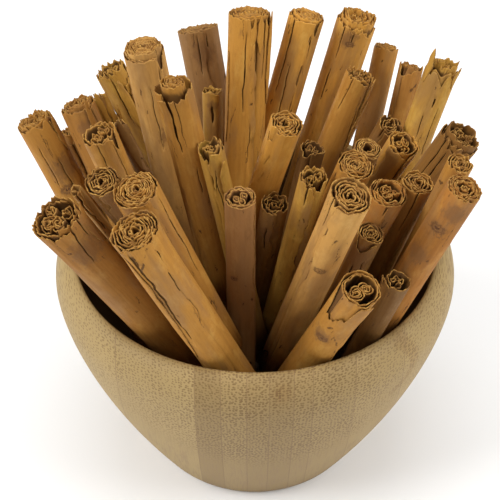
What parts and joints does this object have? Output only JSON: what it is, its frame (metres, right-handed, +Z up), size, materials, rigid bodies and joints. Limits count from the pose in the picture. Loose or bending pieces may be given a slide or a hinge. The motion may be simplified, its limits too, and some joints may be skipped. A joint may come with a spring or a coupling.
{
  "type": "stack of cinnamon sticks",
  "caption": "Rolled cinnamon bark quills standing fanned out in a turned bowl of laminated bamboo.",
  "frame": {"origin": "centre of the bowl's flat underside", "axes": "+Z up along the bowl's axis; -Y is the side that the picture shows; +X is to the right there"},
  "size_m": [0.1549, 0.1476, 0.1691],
  "materials": {
    "bamboo": "satin",
    "bark": "matte"
  },
  "bodies": {
    "root": {"bowl": "bamboo", "quill_01": "bark", "quill_02": "bark", "quill_03": "bark", "quill_04": "bark", "quill_05": "bark", "quill_06": "bark", "quill_07": "bark", "quill_08": "bark", "quill_09": "bark", "quill_10": "bark", "quill_11": "bark", "quill_12": "bark", "quill_13": "bark", "quill_14": "bark", "quill_15": "bark", "quill_16": "bark", "quill_17": "bark", "quill_18": "bark", "quill_19": "bark", "quill_20": "bark", "quill_21": "bark", "quill_22": "bark", "quill_23": "bark", "quill_24": "bark", "quill_25": "bark", "quill_26": "bark", "quill_27": "bark", "quill_28": "bark", "quill_29": "bark", "quill_30": "bark", "quill_31": "bark", "quill_32": "bark", "quill_33": "bark", "quill_34": "bark", "quill_35": "bark", "quill_36": "bark", "quill_37": "bark", "quill_38": "bark", "quill_39": "bark", "quill_40": "bark", "quill_41": "bark", "quill_42": "bark", "quill_43": "bark"}
  },
  "joints": []
}
